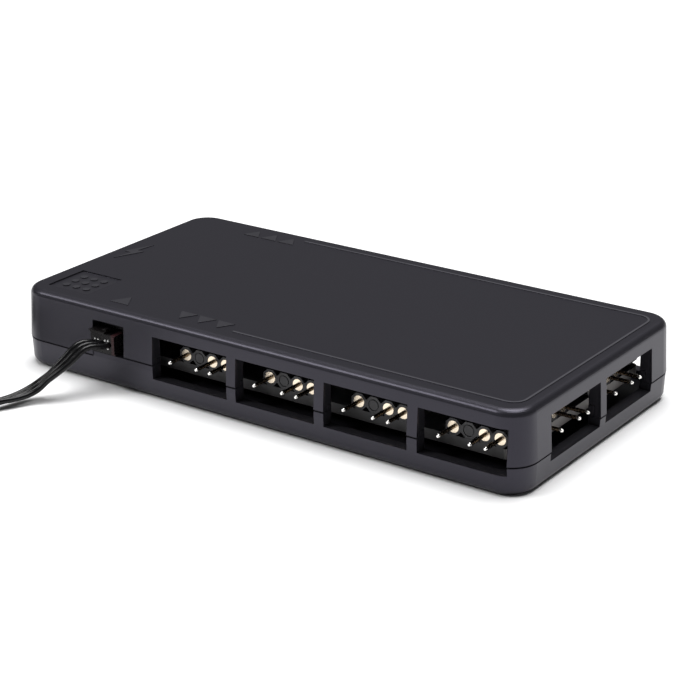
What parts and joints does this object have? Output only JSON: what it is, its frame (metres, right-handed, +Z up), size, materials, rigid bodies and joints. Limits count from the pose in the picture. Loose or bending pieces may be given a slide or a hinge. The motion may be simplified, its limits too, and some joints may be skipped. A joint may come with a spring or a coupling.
{
  "type": "addressable rgb splitter",
  "caption": "Flat two-shell case that shares one lighting signal and drive power between rows of pin ports, with a plug-in signal lead.",
  "frame": {"origin": "middle of the case's underside", "axes": "+X along the case's long side towards the end with two ports, -Y out of the front face that holds the input port, +Z up out of the roof"},
  "size_m": [0.1198, 0.085, 0.0129],
  "materials": {
    "shell": "fine textured black moulding",
    "screw": "black coated steel",
    "board": "black solder mask",
    "header_plastic": "black moulded",
    "gold": "gold plated",
    "chip": "moulded epoxy",
    "tin": "tin plated",
    "can": "drawn can",
    "ceramic_chip": "fired",
    "resistor": "coated",
    "plug": "moulded",
    "wire": "extruded jacket",
    "connector": "moulded"
  },
  "bodies": {
    "root": {"upper_shell": "shell", "lower_shell": "shell", "case_screws": "screw", "circuit_board": "board", "out_header_1": "header_plastic", "out_header_2": "header_plastic", "out_header_3": "header_plastic", "out_header_4": "header_plastic", "out_header_5": "header_plastic", "out_header_6": "header_plastic", "out_header_7": "header_plastic", "out_header_8": "header_plastic", "out_header_9": "header_plastic", "out_header_10": "header_plastic", "out_header_11": "header_plastic", "out_pins_1": "gold", "out_pins_2": "gold", "out_pins_3": "gold", "out_pins_4": "gold", "out_pins_5": "gold", "out_pins_6": "gold", "out_pins_7": "gold", "out_pins_8": "gold", "out_pins_9": "gold", "out_pins_10": "gold", "out_pins_11": "gold", "in_header": "header_plastic", "in_header_pins": "gold", "power_inlet": "header_plastic", "power_contacts": "gold", "buffer_chip": "chip", "chip_leads": "tin", "bulk_capacitors": "can", "chip_capacitors": "ceramic_chip", "chip_resistors": "resistor", "in_plug": "plug", "in_plug_contacts": "gold", "lead_tube": "wire", "lead_coil": "wire", "lead_connector": "connector", "lead_contacts": "gold"}
  },
  "joints": []
}
